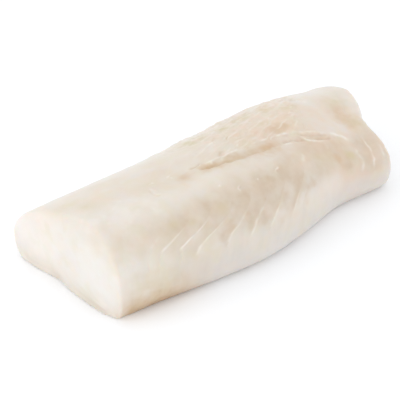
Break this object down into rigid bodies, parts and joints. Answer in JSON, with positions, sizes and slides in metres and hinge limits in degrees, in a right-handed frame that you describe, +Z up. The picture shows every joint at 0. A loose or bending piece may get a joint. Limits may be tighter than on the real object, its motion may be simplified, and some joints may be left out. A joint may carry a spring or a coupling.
{
  "type": "raw cod loin",
  "caption": "Raw, skinless cod loin portion with stepped muscle flakes and a torn lengthwise seam, cut clean at the front and torn at the rear, lying on its flat side.",
  "frame": {"origin": "the middle of the flat underside, below the centre of the loin's box", "axes": "+X along the loin from its clean front cut to its torn rear end, +Y to the far, thin side, +Z up"},
  "size_m": [0.1528, 0.069, 0.0316],
  "materials": {
    "flesh": "moist, pale cream and slightly see-through fish flesh, nearest to a soft gloss"
  },
  "bodies": {
    "root": {"cod_loin": "flesh"}
  },
  "joints": []
}
